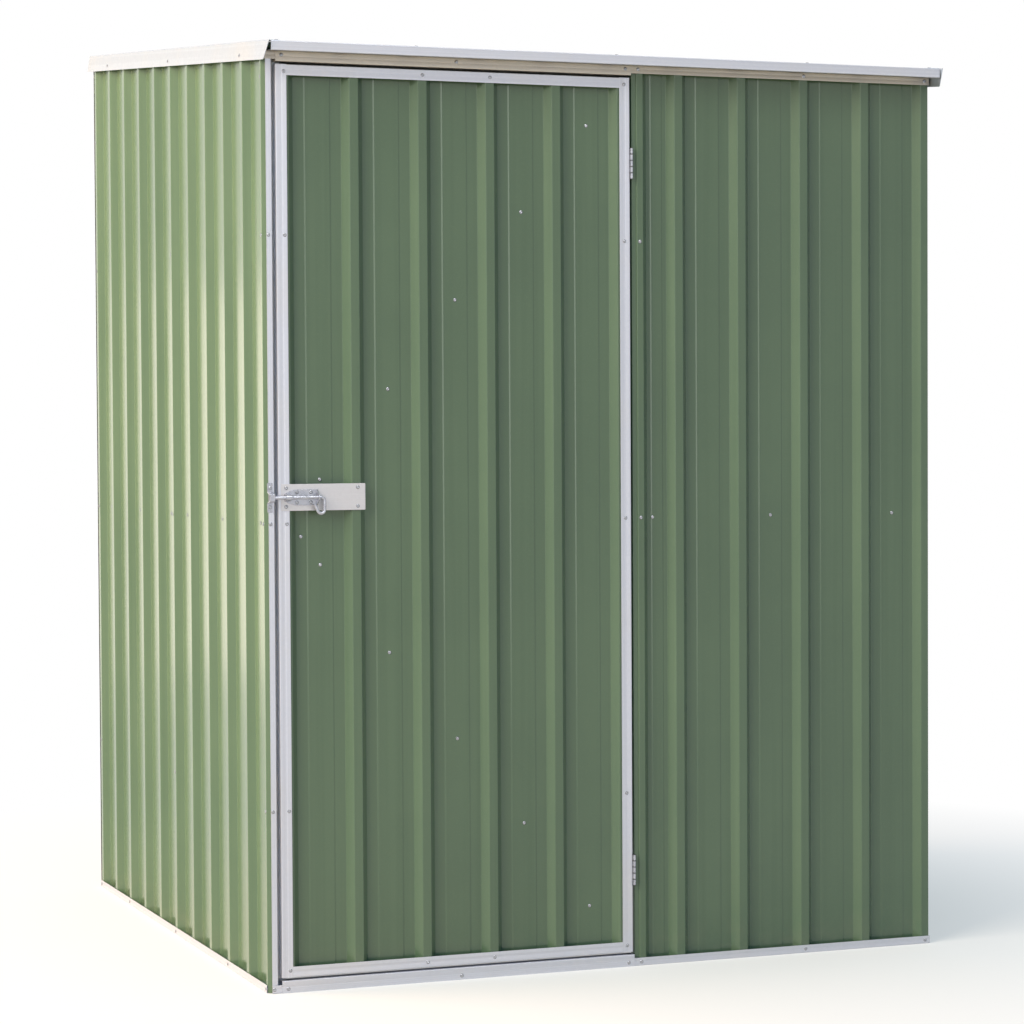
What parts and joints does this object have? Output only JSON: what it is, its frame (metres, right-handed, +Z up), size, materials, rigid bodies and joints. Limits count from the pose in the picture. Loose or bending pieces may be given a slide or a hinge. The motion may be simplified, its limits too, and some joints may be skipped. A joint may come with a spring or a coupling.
{
  "type": "metal tool shed",
  "caption": "Square garden tool shed of ribbed steel sheets in folded galvanised channels, with a low skillion roof, a hinged braced door and a sliding pad bolt.",
  "frame": {"origin": "under the middle of the whole shed, at ground level", "axes": "+Z up, the door faces -Y, +X to the right of someone facing the door"},
  "size_m": [1.5414, 1.608, 2.0882],
  "materials": {
    "green_paint": "satin pale green prepainted steel",
    "galvanised": "dull galvanised steel",
    "zinc_plate": "bright zinc plate"
  },
  "bodies": {
    "shed": {"front_base_channel": "galvanised", "right_base_channel": "galvanised", "back_base_channel": "galvanised", "left_base_channel": "galvanised", "front_top_channel": "galvanised", "back_top_channel": "galvanised", "left_top_channel": "galvanised", "right_top_channel": "galvanised", "right_wall_front_sheet": "green_paint", "right_wall_rear_sheet": "green_paint", "back_wall_right_sheet": "green_paint", "back_wall_left_sheet": "green_paint", "left_wall_rear_sheet": "green_paint", "left_wall_front_sheet": "green_paint", "front_wall_sheet": "green_paint", "door_sill": "galvanised", "door_header": "galvanised", "door_jamb": "galvanised", "hinge_post": "green_paint", "front_wall_rail": "galvanised", "right_wall_rail": "galvanised", "back_wall_rail": "galvanised", "left_wall_rail": "galvanised", "left_roof_sheet": "green_paint", "right_roof_sheet": "green_paint", "roof_front_capping": "galvanised", "roof_back_capping": "galvanised", "left_barge": "galvanised", "right_barge": "galvanised", "upper_hinge_frame_leaf": "zinc_plate", "lower_hinge_frame_leaf": "zinc_plate", "upper_hinge_pin": "zinc_plate", "lower_hinge_pin": "zinc_plate", "bolt_keeper": "zinc_plate"},
    "door": {"door_left_stile": "galvanised", "door_right_stile": "galvanised", "door_bottom_rail": "galvanised", "door_top_rail": "galvanised", "door_sheet": "green_paint", "door_upper_brace": "galvanised", "door_lower_brace": "galvanised", "upper_hinge_door_leaf": "zinc_plate", "lower_hinge_door_leaf": "zinc_plate", "bolt_plate": "galvanised", "bolt_base": "zinc_plate"},
    "bolt": {"bolt_rod": "zinc_plate"},
    "bolt_handle": {"bolt_handle": "zinc_plate"}
  },
  "joints": [
    {"name": "door_hinge", "type": "hinge", "parent": "shed", "child": "door", "pos_m": [0.0479, -0.74637, 0.959], "axis": [0, 0, 1], "range_deg": [0, 165]},
    {"name": "bolt_slide", "type": "slide", "parent": "door", "child": "bolt", "axis": [1, 0, 0], "range_m": [0, 0.04]},
    {"name": "handle_turn", "type": "hinge", "parent": "bolt", "child": "bolt_handle", "pos_m": [-0.649, -0.75637, 1.0135], "axis": [-1, 0, 0], "range_deg": [0, 170]}
  ]
}
